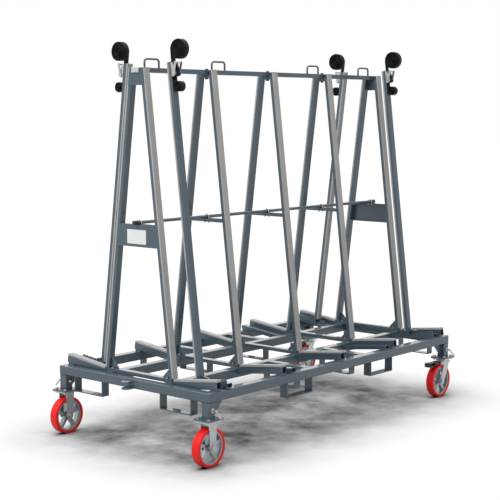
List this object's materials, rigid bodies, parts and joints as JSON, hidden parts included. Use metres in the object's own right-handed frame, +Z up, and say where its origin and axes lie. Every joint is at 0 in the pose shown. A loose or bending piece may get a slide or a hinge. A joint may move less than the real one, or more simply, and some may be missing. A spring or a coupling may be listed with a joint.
{
  "type": "sheet goods cart",
  "caption": "Rolling cart with leaning padded A-frames and ledges on both sides, sliding retaining posts with ratchet straps, fork pockets and lifting loops.",
  "frame": {"origin": "on the floor, at the middle of the space that the cart takes along and across", "axes": "+X along the cart toward the swivel casters, +Y across to the back side, +Z up"},
  "size_m": [2.365, 1.2364, 2.1456],
  "materials": {
    "frame_paint": "dark blue-grey powder coat, slightly textured",
    "pad_rubber": "matte grey rubber strip",
    "zinc": "bright zinc plate",
    "cap_plastic": "pale grey plastic",
    "pedal_paint": "black enamel",
    "wheel_core": "grey painted casting",
    "tread": "red cast polyurethane, satin",
    "webbing": "black woven webbing"
  },
  "bodies": {
    "cart_frame": {"long_beams": "frame_paint", "end_beams": "frame_paint", "inner_frame": "frame_paint", "corner_legs": "frame_paint", "fork_pockets": "frame_paint", "tow_hitch": "frame_paint", "foot_bars": "frame_paint", "frame_posts": "frame_paint", "post_pads": "pad_rubber", "ledge_arms": "frame_paint", "ledge_pads": "pad_rubber", "slide_rails": "frame_paint", "mid_braces": "frame_paint", "top_brackets": "frame_paint", "ridge_tube": "frame_paint", "end_caps": "cap_plastic", "lifting_loops": "frame_paint", "centre_rod": "frame_paint", "frame_fasteners": "zinc", "caster_plates": "zinc", "rigid_forks": "zinc", "rigid_axles": "zinc"},
    "swivel_front": {"swivel_fork_front": "zinc", "swivel_axle_front": "zinc"},
    "pedal_front": {"brake_pedal_front": "pedal_paint"},
    "swivel_back": {"swivel_fork_back": "zinc", "swivel_axle_back": "zinc"},
    "pedal_back": {"brake_pedal_back": "pedal_paint"},
    "wheel_front_left": {"wheel_core_front_left": "wheel_core", "wheel_tread_front_left": "tread"},
    "wheel_front_right": {"wheel_core_front_right": "wheel_core", "wheel_tread_front_right": "tread"},
    "wheel_back_left": {"wheel_core_back_left": "wheel_core", "wheel_tread_back_left": "tread"},
    "wheel_back_right": {"wheel_core_back_right": "wheel_core", "wheel_tread_back_right": "tread"},
    "pin_front_left": {"hitch_pin_front_left": "zinc"},
    "pin_front_right": {"hitch_pin_front_right": "zinc"},
    "pin_back_left": {"hitch_pin_back_left": "zinc"},
    "pin_back_right": {"hitch_pin_back_right": "zinc"},
    "stop_front_left": {"retaining_post_front_left": "frame_paint", "retaining_pad_front_left": "pad_rubber", "ratchet_frame_front_left": "zinc", "strap_front_left": "webbing"},
    "stop_front_right": {"retaining_post_front_right": "frame_paint", "retaining_pad_front_right": "pad_rubber", "ratchet_frame_front_right": "zinc", "strap_front_right": "webbing"},
    "stop_back_left": {"retaining_post_back_left": "frame_paint", "retaining_pad_back_left": "pad_rubber", "ratchet_frame_back_left": "zinc", "strap_back_left": "webbing"},
    "stop_back_right": {"retaining_post_back_right": "frame_paint", "retaining_pad_back_right": "pad_rubber", "ratchet_frame_back_right": "zinc", "strap_back_right": "webbing"},
    "lever_front_left": {"ratchet_handle_front_left": "zinc"},
    "lever_front_right": {"ratchet_handle_front_right": "zinc"},
    "lever_back_left": {"ratchet_handle_back_left": "zinc"},
    "lever_back_right": {"ratchet_handle_back_right": "zinc"}
  },
  "joints": [
    {"name": "swivel_turn_front", "type": "hinge", "parent": "cart_frame", "child": "swivel_front", "pos_m": [1.125, -0.53, 0.2185], "axis": [0, 0, 1], "continuous": true},
    {"name": "brake_press_front", "type": "hinge", "parent": "swivel_front", "child": "pedal_front", "pos_m": [1.063, -0.53, 0.213], "axis": [0, -1, 0], "range_deg": [0, 12]},
    {"name": "swivel_turn_back", "type": "hinge", "parent": "cart_frame", "child": "swivel_back", "pos_m": [1.125, 0.53, 0.2185], "axis": [0, 0, 1], "continuous": true},
    {"name": "brake_press_back", "type": "hinge", "parent": "swivel_back", "child": "pedal_back", "pos_m": [1.063, 0.53, 0.213], "axis": [0, -1, 0], "range_deg": [0, 12]},
    {"name": "wheel_roll_front_left", "type": "hinge", "parent": "cart_frame", "child": "wheel_front_left", "pos_m": [-1.081, -0.53, 0.1015], "axis": [0, 1, 0], "continuous": true},
    {"name": "wheel_roll_front_right", "type": "hinge", "parent": "swivel_front", "child": "wheel_front_right", "pos_m": [1.075, -0.53, 0.1015], "axis": [0, 1, 0], "continuous": true},
    {"name": "wheel_roll_back_left", "type": "hinge", "parent": "cart_frame", "child": "wheel_back_left", "pos_m": [-1.081, 0.53, 0.1015], "axis": [0, 1, 0], "continuous": true},
    {"name": "wheel_roll_back_right", "type": "hinge", "parent": "swivel_back", "child": "wheel_back_right", "pos_m": [1.075, 0.53, 0.1015], "axis": [0, 1, 0], "continuous": true},
    {"name": "pin_pull_front_left", "type": "slide", "parent": "cart_frame", "child": "pin_front_left", "axis": [0, -1, 0], "range_m": [0, 0.08]},
    {"name": "pin_pull_front_right", "type": "slide", "parent": "cart_frame", "child": "pin_front_right", "axis": [0, -1, 0], "range_m": [0, 0.08]},
    {"name": "pin_pull_back_left", "type": "slide", "parent": "cart_frame", "child": "pin_back_left", "axis": [0, 1, 0], "range_m": [0, 0.08]},
    {"name": "pin_pull_back_right", "type": "slide", "parent": "cart_frame", "child": "pin_back_right", "axis": [0, 1, 0], "range_m": [0, 0.08]},
    {"name": "stop_slide_front_left", "type": "slide", "parent": "cart_frame", "child": "stop_front_left", "axis": [0, -0.9925, 0.1219], "range_m": [-0.06, 0.17]},
    {"name": "stop_slide_front_right", "type": "slide", "parent": "cart_frame", "child": "stop_front_right", "axis": [0, -0.9925, 0.1219], "range_m": [-0.06, 0.17]},
    {"name": "stop_slide_back_left", "type": "slide", "parent": "cart_frame", "child": "stop_back_left", "axis": [0, 0.9925, 0.1219], "range_m": [-0.06, 0.17]},
    {"name": "stop_slide_back_right", "type": "slide", "parent": "cart_frame", "child": "stop_back_right", "axis": [0, 0.9925, 0.1219], "range_m": [-0.06, 0.17]},
    {"name": "ratchet_swing_front_left", "type": "hinge", "parent": "stop_front_left", "child": "lever_front_left", "pos_m": [-0.948, -0.19484, 1.97093], "axis": [1, 0, 0], "range_deg": [0, 100]},
    {"name": "ratchet_swing_front_right", "type": "hinge", "parent": "stop_front_right", "child": "lever_front_right", "pos_m": [0.992, -0.19484, 1.97093], "axis": [1, 0, 0], "range_deg": [0, 100]},
    {"name": "ratchet_swing_back_left", "type": "hinge", "parent": "stop_back_left", "child": "lever_back_left", "pos_m": [-0.948, 0.19484, 1.97093], "axis": [-1, 0, 0], "range_deg": [0, 100]},
    {"name": "ratchet_swing_back_right", "type": "hinge", "parent": "stop_back_right", "child": "lever_back_right", "pos_m": [0.992, 0.19484, 1.97093], "axis": [-1, 0, 0], "range_deg": [0, 100]}
  ]
}
